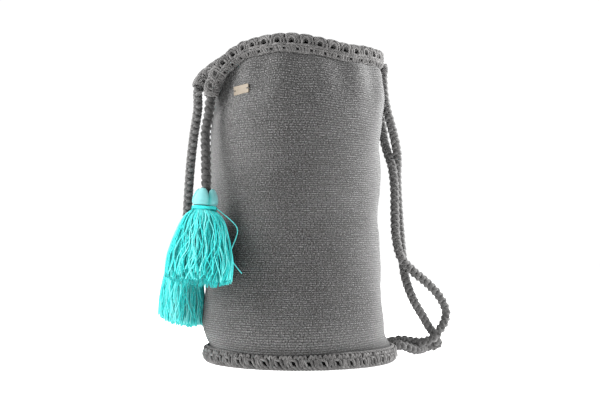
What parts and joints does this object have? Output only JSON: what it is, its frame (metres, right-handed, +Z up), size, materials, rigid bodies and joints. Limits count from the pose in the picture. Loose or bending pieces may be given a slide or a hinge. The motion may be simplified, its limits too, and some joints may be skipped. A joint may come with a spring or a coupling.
{
  "type": "backpack",
  "caption": "Soft knitted bucket backpack: round crocheted base and rim casing, drawstring with thread tassels at the front, rope straps at the back.",
  "frame": {"origin": "centre of the underside of the base, on the floor", "axes": "+Z up through the mouth of the bag, -Y towards the tassels at the front, +Y towards the straps at the back"},
  "size_m": [0.23, 0.3633, 0.3746],
  "materials": {
    "knit": "matte knit",
    "crochet": "matte crochet yarn",
    "rope": "matte braided yarn",
    "tassel": "satin thread",
    "plate": "satin"
  },
  "bodies": {
    "root": {"base_disc": "crochet", "base_band": "crochet", "body_fabric": "knit", "rim_band": "crochet", "drawstring_in_rim": "rope", "drawstring_end_near": "rope", "drawstring_end_far": "rope", "tassel_near_cap": "tassel", "tassel_near_binding": "tassel", "tassel_near_skirt": "tassel", "tassel_far_cap": "tassel", "tassel_far_binding": "tassel", "tassel_far_skirt": "tassel", "tassel_tail_thread": "tassel", "strap_near": "rope", "strap_far": "rope", "label_plate": "plate"}
  },
  "joints": []
}
